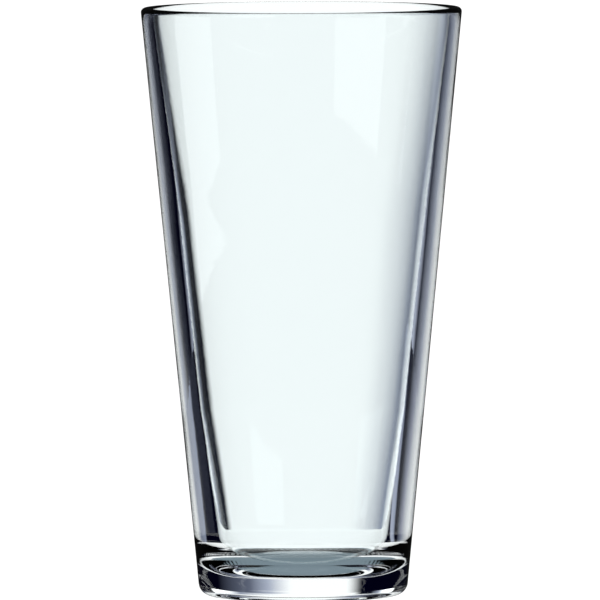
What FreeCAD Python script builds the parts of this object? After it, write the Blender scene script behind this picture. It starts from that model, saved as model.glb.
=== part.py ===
"""Pint glass: one pressed and fire-polished piece of clear soda-lime glass.

The glass is a straight-sided tapered tumbler. Its outside is one cone from the foot to the
lip. Its bowl is three cones that blend into one another, so the wall thickens quickly below
the lip, slowly through the middle, and quickly again towards the heavy base. The lip and the
heel are rounded, and a shallow punt under the base leaves a flat ring for it to stand on.

The body is turned about +Z in three steps: a solid blank with the outside shape, a groove
that hollows out the bowl, and a groove for the punt. Its edges are rounded last. Units are
millimetres. The origin is the centre of the foot, on the table, and +Z is up.
"""
import FreeCAD, Part
import os
import Sketcher

NODE = "glass"
GRAMS_PER_CUBIC_MM = 0.0025
CUBIC_MM_PER_ML = 1000.0
EDGE_TOLERANCE = 0.001

# Driving sizes: alias, value in millimetres, what it measures.
DRIVING_SIZES = [
    ("GlassHeight", 161.0, "table to the top of the lip"),
    ("MouthDiameter", 88.0, "outside diameter at the lip, sides drawn up to it"),
    ("FootDiameter", 56.7, "outside diameter at the table, sides drawn down to it"),
    ("LipWall", 2.9, "level thickness of the wall at the lip"),
    ("LipFlat", 0.4, "level width left on top, between the two rounds of the lip"),
    ("ShoulderHeight", 105.0, "table to where the upper and middle tapers of the bowl meet"),
    ("ShoulderWall", 4.75, "level thickness of the wall at that height"),
    ("ShoulderBlend", 600.0, "radius that blends those two tapers"),
    ("WaistHeight", 50.0, "table to where the middle and lower tapers of the bowl meet"),
    ("WaistWall", 5.4, "level thickness of the wall at that height"),
    ("WaistBlend", 150.0, "radius that blends those two tapers"),
    ("FloorThickness", 6.1, "table to the floor of the bowl"),
    ("FloorWall", 7.1, "level thickness of the wall at that floor, sides drawn down to it"),
    ("BowlCorner", 12.5, "radius between the floor and the side of the bowl"),
    ("HeelRound", 3.5, "radius of the outside bottom corner"),
    ("StandRing", 4.0, "width of the ring between the heel and the punt"),
    ("PuntDepth", 1.6, "depth of the hollow under the base"),
    ("PuntSlope", 2.4, "level width of the sloping side of the punt"),
    ("PuntRound", 1.5, "radius of both edges of that slope"),
]

# Sizes that follow from the driving ones: alias, formula, what it measures.
DERIVED_SIZES = [
    ("MouthRadius", "=MouthDiameter / 2", "outside radius at the lip"),
    ("FootRadius", "=FootDiameter / 2", "outside radius at the table"),
    ("SideSlope", "=(MouthRadius - FootRadius) / GlassHeight", "radius gained per height"),
    ("LipInner", "=MouthRadius - LipWall", "bowl radius at the lip"),
    ("LipRound", "=(LipWall - LipFlat) / 2", "radius of both edges of the lip"),
    ("ShoulderInner", "=FootRadius + SideSlope * ShoulderHeight - ShoulderWall",
     "bowl radius there"),
    ("WaistInner", "=FootRadius + SideSlope * WaistHeight - WaistWall", "bowl radius there"),
    ("FloorInner", "=FootRadius + SideSlope * FloorThickness - FloorWall", "bowl radius there"),
    ("HeelTangent", "=HeelRound * tan(45deg - atan(SideSlope) / 2)", "heel's reach inwards"),
    ("PuntFoot", "=FootRadius - HeelTangent - StandRing", "punt radius at the table"),
    ("PuntTop", "=PuntFoot - PuntSlope", "punt radius at its top"),
]


def make_sheet(doc):
    """Puts the driving and derived sizes in a spreadsheet, one named cell to a row."""
    sheet = doc.addObject("Spreadsheet::Sheet", "Sizes")
    rows = [(alias, str(value), note) for alias, value, note in DRIVING_SIZES]
    rows += DERIVED_SIZES
    for row, (alias, content, note) in enumerate(rows, start=1):
        sheet.set(f"A{row}", alias)
        sheet.set(f"B{row}", content)
        sheet.setAlias(f"B{row}", alias)
        sheet.set(f"C{row}", note)
    doc.recompute()
    return sheet


def origin_plane(body, role):
    """Returns the body's own origin plane that has this role."""
    return next(part for part in body.Origin.OriginFeatures if part.Role == role)


def half_section(body, name, sheet, corners):
    """Draws a closed half section on the XZ plane, right of the axis.

    Each corner is (radius alias, height alias). None is the axis or the table.
    """
    sketch = body.newObject("Sketcher::SketchObject", name)
    sketch.AttachmentSupport = (origin_plane(body, "XZ_Plane"), [""])
    sketch.MapMode = "FlatFace"
    size = {alias: sheet.get(alias) for pair in corners for alias in pair if alias}
    points = [FreeCAD.Vector(size.get(radius, 0), size.get(height, 0), 0)
              for radius, height in corners]
    for index, point in enumerate(points):
        following = points[(index + 1) % len(points)]
        sketch.addGeometry(Part.LineSegment(point, following), False)
    for index in range(len(points)):
        following = (index + 1) % len(points)
        sketch.addConstraint(Sketcher.Constraint("Coincident", index, 2, following, 1))
    for index, (radius, height) in enumerate(corners):
        place_corner(sketch, index, "DistanceX", -2, radius, size)
        place_corner(sketch, index, "DistanceY", -1, height, size)
    return sketch


def place_corner(sketch, index, kind, axis, alias, size):
    """Ties one coordinate of a corner to a cell, or to an axis of the sketch."""
    if alias is None:
        sketch.addConstraint(Sketcher.Constraint("PointOnObject", index, 1, axis))
        return
    number = sketch.addConstraint(
        Sketcher.Constraint(kind, -1, 1, index, 1, size[alias]))
    sketch.setExpression(f"Constraints[{number}]", f"Sizes.{alias}")


def blend_corner(sketch, index, sheet, radius_alias):
    """Replaces a corner of the half section with an arc that is tangent to both its sides."""
    sketch.Document.recompute()
    arc = sketch.GeometryCount
    radius = sheet.get(radius_alias)
    trim_sides, keep_corner = True, True
    sketch.fillet(index, 1, radius, trim_sides, keep_corner)
    number = sketch.addConstraint(Sketcher.Constraint("Radius", arc, radius))
    sketch.setExpression(f"Constraints[{number}]", f"Sizes.{radius_alias}")


def turn(body, kind, name, sketch):
    """Turns a half section all the way about +Z, as a Revolution or a Groove."""
    feature = body.newObject(f"PartDesign::{kind}", name)
    feature.Profile = sketch
    feature.ReferenceAxis = (sketch, ["V_Axis"])
    feature.Angle = 360.0
    body.Document.recompute()
    return feature


def ring_edge(shape, radius, height):
    """Names the circular edge about +Z with this radius and height."""
    for number, edge in enumerate(shape.Edges, start=1):
        if not isinstance(edge.Curve, Part.Circle):
            continue
        centre = edge.Curve.Center
        near_radius = abs(edge.Curve.Radius - radius) < EDGE_TOLERANCE
        if near_radius and abs(centre.z - height) < EDGE_TOLERANCE:
            return f"Edge{number}"
    raise ValueError(f"no edge of radius {radius} at height {height}")


def round_edge(body, name, sheet, radius_alias, corner):
    """Rounds the edge that runs through a corner of the half section."""
    radius, height = (sheet.get(alias) if alias else 0.0 for alias in corner)
    base = body.Tip
    fillet = body.newObject("PartDesign::Fillet", name)
    fillet.Base = (base, [ring_edge(base.Shape, radius, height)])
    fillet.setExpression("Radius", f"Sizes.{radius_alias}")
    body.Document.recompute()
    return fillet


def make_glass(doc, sheet):
    """Builds the whole glass: blank, bowl, punt, then its rounded edges."""
    body = doc.addObject("PartDesign::Body", "Glass")
    body.Label = NODE

    blank = half_section(body, "BlankSection", sheet, [
        (None, None), ("FootRadius", None), ("MouthRadius", "GlassHeight"),
        (None, "GlassHeight")])
    turn(body, "Revolution", "Blank", blank)
    blank_volume = body.Shape.Volume

    bowl = half_section(body, "BowlSection", sheet, [
        (None, "FloorThickness"), ("FloorInner", "FloorThickness"),
        ("WaistInner", "WaistHeight"), ("ShoulderInner", "ShoulderHeight"),
        ("LipInner", "GlassHeight"), (None, "GlassHeight")])
    waist_corner, shoulder_corner = 2, 3
    blend_corner(bowl, waist_corner, sheet, "WaistBlend")
    blend_corner(bowl, shoulder_corner, sheet, "ShoulderBlend")
    turn(body, "Groove", "Bowl", bowl)
    bowl_volume = blank_volume - body.Shape.Volume
    assert bowl_volume > 0, "the bowl cut nothing"

    punt = half_section(body, "PuntSection", sheet, [
        (None, None), ("PuntFoot", None), ("PuntTop", "PuntDepth"), (None, "PuntDepth")])
    turn(body, "Groove", "Punt", punt)
    assert body.Shape.Volume < blank_volume - bowl_volume, "the punt cut nothing"

    round_edge(body, "HeelRounding", sheet, "HeelRound", ("FootRadius", None))
    round_edge(body, "PuntFootRounding", sheet, "PuntRound", ("PuntFoot", None))
    round_edge(body, "PuntTopRounding", sheet, "PuntRound", ("PuntTop", "PuntDepth"))
    round_edge(body, "BowlRounding", sheet, "BowlCorner", ("FloorInner", "FloorThickness"))
    round_edge(body, "LipOuterRounding", sheet, "LipRound", ("MouthRadius", "GlassHeight"))
    round_edge(body, "LipInnerRounding", sheet, "LipRound", ("LipInner", "GlassHeight"))
    return body


def brimful_volume(body, sheet):
    """Returns the volume that fills the bowl to the top of the lip, in cubic millimetres."""
    height = sheet.get("GlassHeight")
    block = Part.makeCylinder(sheet.get("MouthDiameter"), height)
    middle = FreeCAD.Vector(0, 0, height / 2)
    spaces = block.cut(body.Shape).Solids
    bowl = next(space for space in spaces if space.isInside(middle, EDGE_TOLERANCE, False))
    return bowl.Volume


def check_model(doc, body):
    """Stops the build if any object failed or the glass isn't one valid solid."""
    for item in doc.Objects:
        if "Invalid" in item.State or "Error" in item.State:
            raise RuntimeError(f"{item.Name} failed: {item.State}")
    shape = body.Shape
    if shape.isNull() or not shape.isValid() or len(shape.Solids) != 1:
        raise RuntimeError(f"{body.Label} isn't one valid solid")


def main():
    doc = FreeCAD.newDocument("PintGlass")
    sheet = make_sheet(doc)
    body = make_glass(doc, sheet)
    doc.recompute()
    check_model(doc, body)

    os.makedirs("parts", exist_ok=True)
    body.Shape.exportStep(f"parts/{body.Label}.step")

    volume = body.Shape.Volume
    print(f"{body.Label}: {volume:.0f} cubic mm, {volume * GRAMS_PER_CUBIC_MM:.0f} g")
    print(f"brimful: {brimful_volume(body, sheet) / CUBIC_MM_PER_ML:.0f} ml")
    print(f"box: {body.Shape.optimalBoundingBox()}")


main()
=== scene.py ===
# %% [markdown]
# # A pint glass, turned and lit in Blender
#
# A pint glass is one piece of clear pressed glass: a straight tapered wall, a rounded lip and a
# heavy base. Nothing on it moves. This lesson turns it from one outline, gives it a glass that
# bends light as real soda-lime glass does, and lights it the way glass is photographed: a white
# window behind it and dark cards on both sides, so that its edges show as dark lines.

# %% Load the frame
import math

import bmesh
import bpy
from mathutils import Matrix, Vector


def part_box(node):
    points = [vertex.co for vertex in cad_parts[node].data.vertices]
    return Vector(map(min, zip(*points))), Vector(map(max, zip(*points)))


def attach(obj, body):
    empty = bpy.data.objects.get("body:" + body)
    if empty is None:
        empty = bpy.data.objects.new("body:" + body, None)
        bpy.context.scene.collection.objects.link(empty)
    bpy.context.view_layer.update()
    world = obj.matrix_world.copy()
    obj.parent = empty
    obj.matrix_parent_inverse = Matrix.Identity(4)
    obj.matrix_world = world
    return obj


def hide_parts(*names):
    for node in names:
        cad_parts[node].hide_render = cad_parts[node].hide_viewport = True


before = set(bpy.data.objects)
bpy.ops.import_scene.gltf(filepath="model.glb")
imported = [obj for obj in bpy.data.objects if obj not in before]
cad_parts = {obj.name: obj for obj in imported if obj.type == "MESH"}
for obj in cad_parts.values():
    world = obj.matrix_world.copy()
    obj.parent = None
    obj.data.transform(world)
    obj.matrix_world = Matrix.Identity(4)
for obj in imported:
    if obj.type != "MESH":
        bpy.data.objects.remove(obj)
bpy.context.view_layer.update()

# %% [markdown]
# ## The sizes that the outline needs
#
# Blender works in metres here, so a millimetre gets a name. The height comes from the CAD box.
# The others are the sizes that a glassmaker would give: the two outside diameters, the wall at
# three heights, the floor, and the radius of each rounded edge.

# %% Name the sizes
MM = 0.001

node_low, node_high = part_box("glass")
height = node_high[2] - node_low[2]

mouth_diameter = 88.0 * MM      # outside, the sides drawn up to the top of the lip
foot_diameter = 56.7 * MM       # outside, the sides drawn down to the table
lip_wall = 2.9 * MM
lip_flat = 0.4 * MM
shoulder_height = 105.0 * MM    # where the bowl's upper and middle tapers meet
shoulder_wall = 4.75 * MM
shoulder_blend = 600.0 * MM
waist_height = 50.0 * MM        # where its middle and lower tapers meet
waist_wall = 5.4 * MM
waist_blend = 150.0 * MM
floor_height = 6.1 * MM
floor_wall = 7.1 * MM
bowl_corner = 12.5 * MM
heel_round = 3.5 * MM
stand_ring = 4.0 * MM
punt_depth = 1.6 * MM
punt_slope = 2.4 * MM
punt_round = 1.5 * MM

print("height in mm:", round(height / MM, 2))

# %% [markdown]
# ## The outline
#
# A turned piece is half a section, spun about its axis. The section needs only its corners, in
# order from the middle of the punt, round the foot, up the outside, over the lip and down into
# the bowl. Each corner carries the radius that will round it, so no arc is drawn by hand.

# %% Work out the corners
def outside_radius(level):
    """Radius of the outer cone at a height above the table."""
    share = level / height
    return (foot_diameter + (mouth_diameter - foot_diameter) * share) / 2


side_lean = math.atan((mouth_diameter - foot_diameter) / 2 / height)
heel_reach = heel_round * math.tan(math.radians(45) - side_lean / 2)
ring_outer = foot_diameter / 2 - heel_reach
ring_inner = ring_outer - stand_ring
lip_round = (lip_wall - lip_flat) / 2

corners = [  # radius, height, rounding
    (0.0, punt_depth, 0.0),
    (ring_inner - punt_slope, punt_depth, punt_round),
    (ring_inner, 0.0, punt_round),
    (foot_diameter / 2, 0.0, heel_round),
    (mouth_diameter / 2, height, lip_round),
    (mouth_diameter / 2 - lip_wall, height, lip_round),
    (outside_radius(shoulder_height) - shoulder_wall, shoulder_height, shoulder_blend),
    (outside_radius(waist_height) - waist_wall, waist_height, waist_blend),
    (outside_radius(floor_height) - floor_wall, floor_height, bowl_corner),
    (0.0, floor_height, 0.0),
]


def outline_object(name, points):
    """Makes a wire mesh of the corners, each with its rounding as an attribute."""
    mesh = bpy.data.meshes.new(name)
    vertices = [(radius, level, 0.0) for radius, level, _ in points]
    edges = [(index, index + 1) for index in range(len(points) - 1)]
    mesh.from_pydata(vertices, edges, [])
    rounding = mesh.attributes.new("rounding", "FLOAT", "POINT")
    for index, (_, _, value) in enumerate(points):
        rounding.data[index].value = value
    outline = bpy.data.objects.new(name, mesh)
    bpy.context.scene.collection.objects.link(outline)
    return outline


outline = outline_object("glass_outline", corners)
print("corners:", len(corners), "ring that it stands on, in mm:",
      round(ring_inner / MM, 2), "to", round(ring_outer / MM, 2))

# %% [markdown]
# ## A turning lathe in Geometry Nodes
#
# A spin could be done with the Spin tool or a Screw modifier. Geometry Nodes are chosen because
# every size stays a named input that can be changed and seen at once. The tree rounds the
# corners, cuts long runs shorter, sweeps the outline round a tiny circle, closes the seam and
# the two poles, and then presses two fine details into the surface: the slow waves that a mould
# leaves in a pressed wall, and the fine teeth under the foot that keep a wet glass from sticking.

# %% Name the helpers that add and fill nodes
def new_tree(name, inputs):
    """Starts a Geometry Nodes tree with named inputs: name, socket type, value."""
    tree = bpy.data.node_groups.new(name, "GeometryNodeTree")
    tree.interface.new_socket("Geometry", in_out="INPUT", socket_type="NodeSocketGeometry")
    for label, kind, value in inputs:
        socket = tree.interface.new_socket(label, in_out="INPUT", socket_type=kind)
        if value is not None:
            socket.default_value = value
    tree.interface.new_socket("Geometry", in_out="OUTPUT", socket_type="NodeSocketGeometry")
    return tree


def add(tree, kind, **settings):
    """Adds a node and sets its properties."""
    node = tree.nodes.new(kind)
    for name, value in settings.items():
        setattr(node, name, value)
    return node


def feed(tree, node, **sources):
    """Fills a node's inputs by name, from a socket or a plain value."""
    for name, source in sources.items():
        plug(tree, node.inputs[name.replace("_", " ")], source)


def plug(tree, socket, source):
    """Fills one input, from a socket or a plain value."""
    if isinstance(source, bpy.types.NodeSocket):
        tree.links.new(source, socket)
    else:
        socket.default_value = source


def maths(tree, operation, first, second=0.0):
    """A Math node on two sockets or values."""
    node = add(tree, "ShaderNodeMath", operation=operation)
    plug(tree, node.inputs[0], first)
    plug(tree, node.inputs[1], second)
    return node.outputs[0]


def field_range(tree, value, low, high, to_low=0.0, to_high=1.0):
    """A smooth Map Range from one span to another."""
    node = add(tree, "ShaderNodeMapRange", interpolation_type="SMOOTHSTEP")
    for socket, source in zip(node.inputs, (value, low, high, to_low, to_high)):
        plug(tree, socket, source)
    return node.outputs[0]

print("helpers: new_tree, add, feed, plug, maths, field_range")

# %% Build the lathe tree
def lathe_tree():
    """Turns an outline of corners with roundings into a solid of revolution."""
    tree = new_tree("lathe", [
        ("Steps around", "NodeSocketInt", 320),
        ("Steps per corner", "NodeSocketInt", 20),
        ("Longest step", "NodeSocketFloat", 3.0 * MM),
        ("Wave height", "NodeSocketFloat", 0.02 * MM),
        ("Wave width", "NodeSocketFloat", 9.0 * MM),
        ("Wave top", "NodeSocketFloat", 150.0 * MM),
        ("Teeth", "NodeSocketInt", 64),
        ("Tooth depth", "NodeSocketFloat", 0.15 * MM),
        ("Ring inner", "NodeSocketFloat", ring_inner),
        ("Ring outer", "NodeSocketFloat", ring_outer),
        ("Glass", "NodeSocketMaterial", None),
    ])
    given = add(tree, "NodeGroupInput").outputs
    shape = round_and_divide(tree, given)
    shape = sweep_round(tree, given, shape)
    shape = press_waves(tree, given, shape)
    shape = press_teeth(tree, given, shape)
    smooth = add(tree, "GeometryNodeSetShadeSmooth")
    feed(tree, smooth, Geometry=shape)
    real = add(tree, "GeometryNodeRealizeInstances")
    feed(tree, real, Geometry=smooth.outputs[0])
    finish = add(tree, "GeometryNodeSetMaterial")
    feed(tree, finish, Geometry=real.outputs[0], Material=given["Glass"])
    result = add(tree, "NodeGroupOutput")
    feed(tree, result, Geometry=finish.outputs[0])
    return tree


def round_and_divide(tree, given):
    """Rounds each corner by its attribute and splits long runs into short steps."""
    curve = add(tree, "GeometryNodeMeshToCurve")
    feed(tree, curve, Mesh=given["Geometry"])
    rounding = add(tree, "GeometryNodeInputNamedAttribute", data_type="FLOAT")
    feed(tree, rounding, Name="rounding")
    fillet = add(tree, "GeometryNodeFilletCurve", mode="POLY")
    feed(tree, fillet, Curve=curve.outputs[0], Count=given["Steps per corner"],
         Radius=rounding.outputs[0])
    here = add(tree, "GeometryNodeInputPosition").outputs[0]
    index = add(tree, "GeometryNodeInputIndex").outputs[0]
    following = add(tree, "GeometryNodeFieldAtIndex", data_type="FLOAT_VECTOR", domain="POINT")
    feed(tree, following, Index=maths(tree, "ADD", index, 1), Value=here)
    run = add(tree, "ShaderNodeVectorMath", operation="DISTANCE")
    plug(tree, run.inputs[0], here)
    plug(tree, run.inputs[1], following.outputs[0])
    cuts = maths(tree, "DIVIDE", run.outputs["Value"], given["Longest step"])
    divide = add(tree, "GeometryNodeSubdivideCurve")
    feed(tree, divide, Curve=fillet.outputs[0], Cuts=cuts)
    return divide.outputs[0]


def sweep_round(tree, given, outline_curve):
    """Sweeps the outline round the axis, and closes the seam and the poles."""
    hub = 1.0 * MM
    circle = add(tree, "GeometryNodeCurvePrimitiveCircle", mode="RADIUS")
    feed(tree, circle, Resolution=given["Steps around"], Radius=hub)
    inwards = add(tree, "GeometryNodeTransform")
    feed(tree, inwards, Geometry=outline_curve, Translation=(-hub, 0.0, 0.0))
    sweep = add(tree, "GeometryNodeCurveToMesh")
    feed(tree, sweep, Curve=circle.outputs[0], Profile_Curve=inwards.outputs[0])
    upright = add(tree, "GeometryNodeTransform")
    feed(tree, upright, Geometry=sweep.outputs[0], Rotation=(math.pi, 0.0, 0.0))
    merge = add(tree, "GeometryNodeMergeByDistance")
    feed(tree, merge, Geometry=upright.outputs[0], Distance=0.001 * MM)
    return merge.outputs[0]


def press_waves(tree, given, shape):
    """Moves the wall along its normal by a slow noise, stretched along the height."""
    here = add(tree, "GeometryNodeInputPosition").outputs[0]
    squash = add(tree, "ShaderNodeVectorMath", operation="MULTIPLY")
    plug(tree, squash.inputs[0], here)
    squash.inputs[1].default_value = (1.0, 1.0, 0.22)
    noise = add(tree, "ShaderNodeTexNoise", noise_dimensions="4D")
    feed(tree, noise, Vector=squash.outputs[0], W=7.0, Detail=2.0, Roughness=0.45,
         Scale=maths(tree, "DIVIDE", 1.0, given["Wave width"]))
    swing = maths(tree, "MULTIPLY", maths(tree, "SUBTRACT", noise.outputs[0], 0.5), 2.0)
    axes = add(tree, "ShaderNodeSeparateXYZ")
    plug(tree, axes.inputs[0], here)
    above = field_range(tree, axes.outputs["Z"], 2.0 * MM, 12.0 * MM)
    fade = maths(tree, "ADD", given["Wave top"], 8.0 * MM)
    below = field_range(tree, axes.outputs["Z"], given["Wave top"], fade, 1.0, 0.0)
    amount = maths(tree, "MULTIPLY", maths(tree, "MULTIPLY", swing, given["Wave height"]),
                   maths(tree, "MULTIPLY", above, below))
    normal = add(tree, "GeometryNodeInputNormal").outputs[0]
    return push(tree, shape, normal, amount)


def press_teeth(tree, given, shape):
    """Lifts shallow grooves into the ring that the glass stands on."""
    here = add(tree, "GeometryNodeInputPosition").outputs[0]
    axes = add(tree, "ShaderNodeSeparateXYZ")
    plug(tree, axes.inputs[0], here)
    angle = maths(tree, "ARCTAN2", axes.outputs["Y"], axes.outputs["X"])
    wave = maths(tree, "COSINE", maths(tree, "MULTIPLY", angle, given["Teeth"]))
    groove = field_range(tree, wave, -1.0, 1.0)
    flat = add(tree, "ShaderNodeVectorMath", operation="MULTIPLY")
    plug(tree, flat.inputs[0], here)
    flat.inputs[1].default_value = (1.0, 1.0, 0.0)
    reach = add(tree, "ShaderNodeVectorMath", operation="LENGTH")
    plug(tree, reach.inputs[0], flat.outputs[0])
    radius = reach.outputs["Value"]
    inside = maths(tree, "ADD", given["Ring inner"], 0.7 * MM)
    outside = maths(tree, "SUBTRACT", given["Ring outer"], 0.5 * MM)
    after = field_range(tree, radius, given["Ring inner"], inside)
    before = field_range(tree, radius, outside, given["Ring outer"], 1.0, 0.0)
    low = maths(tree, "LESS_THAN", axes.outputs["Z"], 0.05 * MM)
    mask = maths(tree, "MULTIPLY", maths(tree, "MULTIPLY", after, before), low)
    amount = maths(tree, "MULTIPLY", maths(tree, "MULTIPLY", groove, mask),
                   given["Tooth depth"])
    return push(tree, shape, (0.0, 0.0, 1.0), amount)


def push(tree, shape, direction, amount):
    """Offsets a shape's points along a direction."""
    scale = add(tree, "ShaderNodeVectorMath", operation="SCALE")
    plug(tree, scale.inputs[0], direction)
    plug(tree, scale.inputs["Scale"], amount)
    move = add(tree, "GeometryNodeSetPosition")
    feed(tree, move, Geometry=shape, Offset=scale.outputs[0])
    return move.outputs[0]


lathe = lathe_tree()
print("lathe inputs:", [item.name for item in lathe.interface.items_tree
                        if item.in_out == "INPUT"])


# %% [markdown]
# ## A clear pressed glass
#
# The Principled BSDF makes glass when its Transmission is 1. Soda-lime glass bends light with an
# index of 1.52, and a little iron tints it blue-green. A real tint deepens where the glass is
# thick, as Volume Absorption would give; a pale base colour is simpler and tints every surface
# that light crosses by the same amount. A perfectly clean surface looks computed, so a shader
# group adds what a pressed and often washed glass has: a fine grain of chill marks from the
# mould, and faint smears that dull the shine in soft patches. The same group serves any glass
# by its inputs.

# %% Build the shader group for pressed glass
def new_shader_group(name, inputs, outputs):
    """Starts a shader node group with named inputs and outputs."""
    group = bpy.data.node_groups.new(name, "ShaderNodeTree")
    for label, kind, value in inputs:
        socket = group.interface.new_socket(label, in_out="INPUT", socket_type=kind)
        if value is not None:
            socket.default_value = value
    for label, kind in outputs:
        group.interface.new_socket(label, in_out="OUTPUT", socket_type=kind)
    return group


def pressed_surface_group():
    """Gives a smear mask and a height for the skin of a pressed glass."""
    group = new_shader_group("pressed_surface", [
        ("Position", "NodeSocketVector", None),
        ("Smear size", "NodeSocketFloat", 22.0 * MM),
        ("Chill size", "NodeSocketFloat", 2.2 * MM),
    ], [("Smears", "NodeSocketFloat"), ("Height", "NodeSocketFloat")])
    given = add(group, "NodeGroupInput").outputs
    result = add(group, "NodeGroupOutput")

    cloud = add(group, "ShaderNodeTexNoise", noise_dimensions="4D")
    feed(group, cloud, Vector=given["Position"], W=3.0, Detail=4.0, Roughness=0.6,
         Scale=maths(group, "DIVIDE", 1.0, given["Smear size"]))
    feed(group, result, Smears=field_range(group, cloud.outputs[0], 0.5, 0.75))

    grain = add(group, "ShaderNodeTexNoise", noise_dimensions="4D")
    feed(group, grain, Vector=given["Position"], W=11.0, Detail=2.0, Roughness=0.5,
         Scale=maths(group, "DIVIDE", 1.0, given["Chill size"]))
    feed(group, result, Height=grain.outputs[0])
    return group


pressed_surface = pressed_surface_group()
print("shader group outputs:", [item.name for item in pressed_surface.interface.items_tree
                                if item.in_out == "OUTPUT"])

# %% Mix the clear glass
glass_index = 1.52


def clear_glass():
    """Clear soda-lime glass with a pressed and washed surface."""
    material = bpy.data.materials.new("clear_pressed_glass")
    material.use_nodes = True
    tree = material.node_tree
    skin = tree.nodes["Principled BSDF"]
    feed(tree, skin, Base_Color=(0.955, 0.998, 1.0, 1.0), IOR=glass_index, Metallic=0.0,
         Transmission_Weight=1.0)

    place = add(tree, "ShaderNodeTexCoord")
    surface = add(tree, "ShaderNodeGroup", node_tree=pressed_surface)
    feed(tree, surface, Position=place.outputs["Object"])
    feed(tree, skin, Roughness=maths(tree, "MULTIPLY", surface.outputs["Smears"], 0.03))
    bump = add(tree, "ShaderNodeBump")
    feed(tree, bump, Height=surface.outputs["Height"], Distance=0.004 * MM, Strength=1.0)
    feed(tree, skin, Normal=bump.outputs[0])

    return material


glass_material = clear_glass()
print("material:", glass_material.name)

# %% [markdown]
# ## Turn the glass
#
# The modifier's inputs are set by the identifier of each socket, then the evaluated result
# becomes a plain mesh at the origin, in place of the CAD piece. A real glass encloses a volume,
# so the mesh is measured: no open edge, and a positive volume, which says that every face points
# outwards. The glass is then hidden from shadow and diffuse rays, so that the table stays evenly
# white. A real glass would throw a soft shadow and bright patches of gathered light.

# %% Make the plain mesh
def set_inputs(modifier, **values):
    """Sets a modifier's inputs by their names in the tree."""
    for item in modifier.node_group.interface.items_tree:
        if item.in_out == "INPUT" and item.name.replace(" ", "_") in values:
            modifier[item.identifier] = values[item.name.replace(" ", "_")]


def turned_mesh(source, tree, name, **values):
    """Runs a tree on an object and keeps the result as a plain object."""
    modifier = source.modifiers.new(name, "NODES")
    modifier.node_group = tree
    set_inputs(modifier, **values)
    graph = bpy.context.evaluated_depsgraph_get()
    mesh = bpy.data.meshes.new_from_object(source.evaluated_get(graph))
    mesh.name = name
    piece = bpy.data.objects.new(name, mesh)
    bpy.context.scene.collection.objects.link(piece)
    bpy.data.objects.remove(source)
    return piece


glass = turned_mesh(outline, lathe, "pint_glass", Glass=glass_material)

shape = bmesh.new()
shape.from_mesh(glass.data)
open_edges = [edge for edge in shape.edges if len(edge.link_faces) != 2]
print("triangles:", sum(len(face.verts) - 2 for face in shape.faces),
      "open edges:", len(open_edges), "glass in ml:", round(shape.calc_volume() * 1e6, 1))
shape.free()

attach(glass, "root")
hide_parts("glass")
glass.visible_shadow = False
glass.visible_diffuse = False

# %% [markdown]
# ## The camera
#
# Product photographers stand well back and use a long lens, so that the glass keeps its true
# proportions. The camera looks down by a few degrees, enough to open the mouth to a thin oval.

# %% Place the camera
camera_distance = 3.6
camera_rise = math.radians(3.5)
view_width = 164.2 * MM         # what the picture spans at the glass
aim = Vector((-0.63 * MM, 0.0, 80.83 * MM))
camera_roll = math.radians(-0.19)

camera_data = bpy.data.cameras.new("camera")
camera_data.sensor_width = 36.0
camera_data.lens = camera_data.sensor_width * camera_distance / view_width
camera_data.clip_end = 60.0
camera = bpy.data.objects.new("camera", camera_data)
bpy.context.scene.collection.objects.link(camera)
away = Vector((0.0, -math.cos(camera_rise), math.sin(camera_rise)))
camera.location = aim + away * camera_distance
camera.rotation_euler = (-away).to_track_quat("-Z", "Y").to_euler()
camera.rotation_euler.rotate_axis("Z", camera_roll)
bpy.context.scene.camera = camera
print("lens in mm:", round(camera_data.lens, 1))

# %% [markdown]
# ## The table and the light of the room
#
# Glass shows what surrounds it, so it is lit by its surroundings. The table is plain, matt and
# nearly white. The room gives even light to the table, but is dark where the glass itself would
# mirror it, as in a studio where everything but the lit panels is draped in black. The paper
# under the foot lies in the shade of the heavy base. The glass throws no shadow here, so that
# shade is a set grey-blue, which only light through the glass meets. Round the foot,
# light that crossed the whole bowl passes through the table into a well, whose walls carry on
# the paint of the sheets, so that the dark edges run down to the base.

# %% Lay the table and set the room
def staged(name, mesh, material):
    """Adds an object of the set, which is no part of the glass."""
    item = bpy.data.objects.new(name, mesh)
    bpy.context.scene.collection.objects.link(item)
    mesh.materials.append(material)
    return item


def disc(name, radius, steps=96):
    """A flat round mesh at the height of the table."""
    mesh = bpy.data.meshes.new(name)
    turns = [2 * math.pi * step / steps for step in range(steps)]
    mesh.from_pydata([(radius * math.cos(a), radius * math.sin(a), 0.0) for a in turns],
                     [], [list(range(steps))])
    return mesh


room_light = 1.34
table_radius = 12.0
foot_shade = (0.21, 0.27, 0.31, 1.0)
reach = 0.42                    # from the axis to the painted wall

table_paper = bpy.data.materials.new("table_paper")
table_paper.use_nodes = True
feed(table_paper.node_tree, table_paper.node_tree.nodes["Principled BSDF"],
     Base_Color=(0.85, 0.85, 0.85, 1.0), Roughness=0.9, Specular_IOR_Level=0.0)


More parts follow.
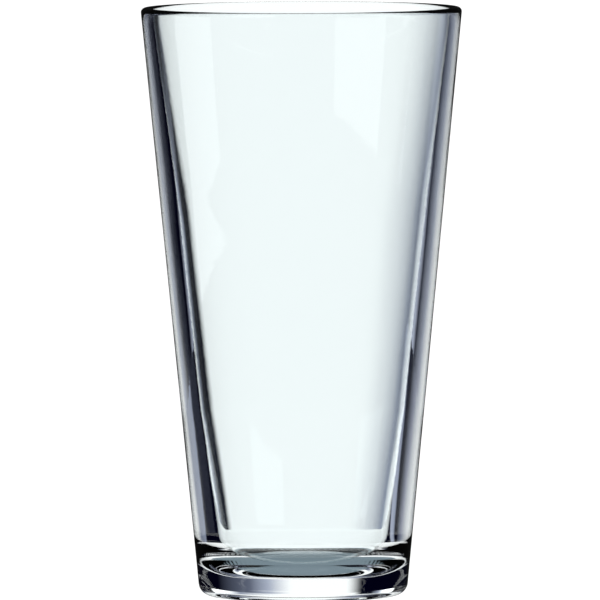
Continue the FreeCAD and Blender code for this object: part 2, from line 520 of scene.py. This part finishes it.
def sink_under_glass(material, foot, well, shaded):
    """Shade under the foot for light through the glass, and a well for light through the bowl."""
    tree = material.node_tree
    path = add(tree, "ShaderNodeLightPath")
    place = add(tree, "ShaderNodeTexCoord")
    reach_out = add(tree, "ShaderNodeVectorMath", operation="LENGTH")
    plug(tree, reach_out.inputs[0], place.outputs["Object"])
    radius = reach_out.outputs["Value"]
    glow = add(tree, "ShaderNodeEmission")
    feed(tree, glow, Color=shaded)
    sunk = add(tree, "ShaderNodeMixShader")
    under = maths(tree, "LESS_THAN", radius, foot)
    plug(tree, sunk.inputs[0], under)
    plug(tree, sunk.inputs[1], add(tree, "ShaderNodeBsdfTransparent").outputs[0])
    plug(tree, sunk.inputs[2], glow.outputs[0])
    through = maths(tree, "GREATER_THAN", path.outputs["Transmission Depth"], 0.5)
    in_bowl = maths(tree, "GREATER_THAN", path.outputs["Transmission Depth"], 2.5)
    around = maths(tree, "MULTIPLY", maths(tree, "LESS_THAN", radius, well), in_bowl)
    mix = add(tree, "ShaderNodeMixShader")
    plug(tree, mix.inputs[0], maths(tree, "MAXIMUM", maths(tree, "MULTIPLY", under, through), around))
    plug(tree, mix.inputs[1], tree.nodes["Principled BSDF"].outputs[0])
    plug(tree, mix.inputs[2], sunk.outputs[0])
    plug(tree, tree.nodes["Material Output"].inputs["Surface"], mix.outputs[0])


sink_under_glass(table_paper, foot_diameter / 2, reach, foot_shade)
table = staged("table", disc("table", table_radius), table_paper)
table.visible_glossy = False

room = bpy.data.worlds.new("room")
room.use_nodes = True
bpy.context.scene.world = room
tree = room.node_tree
path = add(tree, "ShaderNodeLightPath")
seen = maths(tree, "MAXIMUM", path.outputs["Is Camera Ray"], path.outputs["Diffuse Depth"])
share = maths(tree, "MINIMUM", seen, 1.0)
strength = add(tree, "ShaderNodeMapRange")
for socket, value in zip(strength.inputs, (share, 0.0, 1.0, 0.01, room_light)):
    plug(tree, socket, value)
feed(tree, tree.nodes["Background"], Color=(1.0, 1.0, 1.0, 1.0), Strength=strength.outputs[0])
print("room light on the table:", room_light)

bpy.context.scene.view_settings.view_transform = "Standard"

# %% [markdown]
# ## The painted surround that draws the glass
#
# A tall sheet of paper stands round the glass, another lies on the table and a third hangs
# above. They are white in windows and painted black or grey between them, so each edge of the
# glass bends to a dark part and shows as a line. Each list holds one coat of paint, as
# brightness by degrees round the axis: 0 is straight behind the glass, minus is to the left.
# Light that came straight through the bowl, light that the wall mirrored, and light through the
# base meet different coats, which the Light Path node tells apart. No real sheet does that: it
# is a trick of lighting, and it belongs to the set and not to the glass. The camera looks past
# the sheets.

# %% List the coats
window_light = 1.138

wall_direct = [  # degrees, brightness: strip light, dark card, window, grey card, strip light
    (-49, 0.0), (-46, 2.6), (-40, 2.5), (-33, 0.4), (-28, 0.0), (-22, 0.0), (-19, window_light),
    (8, window_light), (25, 0.35), (35, 1.6), (43, 2.8), (46, 2.8), (50, 0.0),
]
wall_mirrored = [
    (-57, 0.0), (-53, 0.45), (-48, 0.0), (-32, 0.0), (-20, 0.45), (-10, window_light),
    (12, window_light), (30, 0.3), (45, 0.0), (51, 0.5), (57, 0.5), (60, 0.0),
]
floor_mirrored = [
    (-36, 0.0), (-33, 0.35), (-18, 0.3), (-6, window_light), (6, window_light),
    (33, 0.25), (45, 0.0), (51, 0.0), (54, 0.4), (62, 0.5), (64, 0.0),
]
wall_base = [
    (-22, 0.0), (-16, window_light), (4, window_light), (12, 0.5), (20, 0.15), (40, 0.0),
]

print("stops of paint for the wall:", len(wall_direct), len(wall_mirrored), len(wall_base),
      "and for the floor:", len(floor_mirrored))

# %% Turn a list into paint
def paint_colour(brightness):
    """White paint is neutral; the darker the paint, the colder its colour."""
    white = min(brightness / window_light, 1.0)
    tint = (0.78 + 0.22 * white, 0.9 + 0.1 * white, 1.3 - 0.3 * white)
    red, green, blue = (brightness * part for part in tint)
    return (red, green, blue + 0.006 * (1.0 - white), 1.0)


def height_and_ramp(tree, paint, stand_out=0.0):
    """The height, and paint that follows the angle round points beside the axis."""
    place = add(tree, "ShaderNodeTexCoord")
    axes = add(tree, "ShaderNodeSeparateXYZ")
    plug(tree, axes.inputs[0], place.outputs["Object"])
    near = add(tree, "ShaderNodeClamp")
    feed(tree, near, Value=axes.outputs["X"], Min=-stand_out, Max=stand_out)
    across = maths(tree, "SUBTRACT", axes.outputs["X"], near.outputs[0])
    angle = maths(tree, "ARCTAN2", across, axes.outputs["Y"])
    share = maths(tree, "ADD", maths(tree, "DIVIDE", angle, 2 * math.pi), 0.5)
    ramp = add(tree, "ShaderNodeValToRGB")
    plug(tree, ramp.inputs[0], share)
    elements = ramp.color_ramp.elements
    elements.remove(elements[1])
    for index, (degrees, brightness) in enumerate(paint):
        element = elements[0] if index == 0 else elements.new(degrees / 360 + 0.5)
        element.position = degrees / 360 + 0.5
        element.color = paint_colour(brightness)
    return axes.outputs["Z"], ramp.outputs[0]


def emission_material(name):
    """Starts a material that only glows; gives its tree, Emission node and Light Path."""
    material = bpy.data.materials.new(name)
    material.use_nodes = True
    tree = material.node_tree
    tree.nodes.clear()
    glow = add(tree, "ShaderNodeEmission")
    output = add(tree, "ShaderNodeOutputMaterial")
    feed(tree, output, Surface=glow.outputs[0])
    return material, tree, glow, add(tree, "ShaderNodeLightPath")


print("window paint:", [round(part, 3) for part in paint_colour(window_light)])

# %% Mix the paint of each sheet
def coats(tree, mask, first, second):
    """The second colour where the mask is one, else the first."""
    mix = add(tree, "ShaderNodeMix", data_type="RGBA")
    plug(tree, mix.inputs["Factor"], mask)
    plug(tree, mix.inputs[6], first)
    plug(tree, mix.inputs[7], second)
    return mix.outputs[2]


def rim_coat(tree, in_bowl):
    """Light that the lip throws high: bright from the near lip, dull from the far one."""
    return coats(tree, in_bowl, far_lip, near_lip)


def wall_paper():
    """Three coats: for direct light, for mirrored light and for light through the base."""
    material, tree, glow, path = emission_material("wall_paint")
    mirrored = maths(tree, "GREATER_THAN", path.outputs["Glossy Depth"], 0.5)
    in_bowl = maths(tree, "GREATER_THAN", path.outputs["Transmission Depth"], 2.5)
    level, direct = height_and_ramp(tree, wall_direct)
    _, base = height_and_ramp(tree, wall_base)
    _, bounced = height_and_ramp(tree, wall_mirrored)
    low = maths(tree, "LESS_THAN", level, base_light)
    through_base = maths(tree, "MULTIPLY", low, maths(tree, "SUBTRACT", 1.0, in_bowl))
    colour = coats(tree, through_base, direct, base)
    high = maths(tree, "GREATER_THAN", level, rim_light)
    colour = coats(tree, high, colour, rim_coat(tree, in_bowl))
    colour = coats(tree, mirrored, colour, bounced)
    echo = maths(tree, "MULTIPLY", mirrored, in_bowl)
    feed(tree, glow, Color=colour,
         Strength=maths(tree, "SUBTRACT", 1.0, maths(tree, "MULTIPLY", echo, echo_loss)))
    return material


def floor_paper():
    """Paint that only mirrored light meets; the rest passes on to the table."""
    material, tree, glow, path = emission_material("floor_paint")
    mirrored = maths(tree, "GREATER_THAN", path.outputs["Glossy Depth"], 0.5)
    _, bounced = height_and_ramp(tree, floor_mirrored, exit_offset)
    feed(tree, glow, Color=bounced)
    mix = add(tree, "ShaderNodeMixShader")
    plug(tree, mix.inputs[0], mirrored)
    plug(tree, mix.inputs[1], add(tree, "ShaderNodeBsdfTransparent").outputs[0])
    plug(tree, mix.inputs[2], glow.outputs[0])
    plug(tree, tree.nodes["Material Output"].inputs["Surface"], mix.outputs[0])
    return material


def ceiling_paper():
    """The rim's coat, overhead."""
    material, tree, glow, path = emission_material("ceiling_paint")
    in_bowl = maths(tree, "GREATER_THAN", path.outputs["Transmission Depth"], 2.5)
    feed(tree, glow, Color=rim_coat(tree, in_bowl))
    return material


def plain_paper(name, brightness):
    """One even white light."""
    material, tree, glow, _ = emission_material(name)
    feed(tree, glow, Strength=brightness)
    return material


base_light = 60.0 * MM          # light through the base meets the wall below this
rim_light = 175.0 * MM          # light thrown up by the lip meets the wall above this
near_lip = (0.72, 0.74, 0.76, 1.0)
far_lip = (0.27, 0.25, 0.24, 1.0)
echo_loss = 0.85                # of light mirrored inside the bowl
exit_offset = 20.0 * MM         # how far beside the axis the light leaves the glass

wall_material = wall_paper()
floor_material = floor_paper()
white_material = plain_paper("window_paint", window_light)
ceiling_material = ceiling_paper()
print("paints:", [paint.name for paint in (wall_material, floor_material, white_material,
                                           ceiling_material)])

# %% Stand the sheets
def ring_sheet(name, begin, end, first, last):
    """A sheet on an arc round the axis, between two (radius, height) edges."""
    mesh = bpy.data.meshes.new(name)
    steps = max(1, math.ceil((end - begin) / 2))
    turns = [math.radians(begin + (end - begin) * step / steps) for step in range(steps + 1)]
    points = [(radius * math.sin(a), radius * math.cos(a), level)
              for radius, level in (first, last) for a in turns]
    faces = [(i, i + 1, i + steps + 2, i + steps + 1) for i in range(steps)]
    mesh.from_pydata(points, [], faces)
    return mesh


def behind_glass(name, material, begin, end, first, last):
    """Sets a sheet that only light through the glass can meet."""
    sheet = staged(name, ring_sheet(name, begin, end, first, last), material)
    sheet.visible_camera = False
    sheet.visible_diffuse = False
    sheet.visible_shadow = False
    sheet.visible_volume_scatter = False
    sheet.visible_glossy = False
    return sheet


paper_lift = 0.2 * MM
window_sill = 50.0 * MM
ring_start = 46.0 * MM
well_depth = 60.0 * MM          # how far the walls go on below the table
wall_height = 0.7
ceiling_height = 0.9
ceiling_radius = 0.6
behind_glass("ceiling", ceiling_material, -180, 180, (1.0 * MM, ceiling_height),
             (ceiling_radius, ceiling_height))
behind_glass("wall", wall_material, -73, 115, (reach, -well_depth), (reach, wall_height))
behind_glass("left_wall", wall_material, -205, -109, (reach, -well_depth), (reach, wall_height))
behind_glass("well_floor", white_material, -180, 180, (1.0 * MM, -well_depth),
             (reach, -well_depth))
for label, begin, end in (("left", -109, -73), ("far", 115, 155)):
    behind_glass("sill_" + label, white_material, begin, end,
                 (reach, -well_depth), (reach, window_sill))
behind_glass("floor", floor_material, -180, 180, (ring_start, paper_lift), (reach, paper_lift))

# %% Update the scene
bpy.context.view_layer.update()
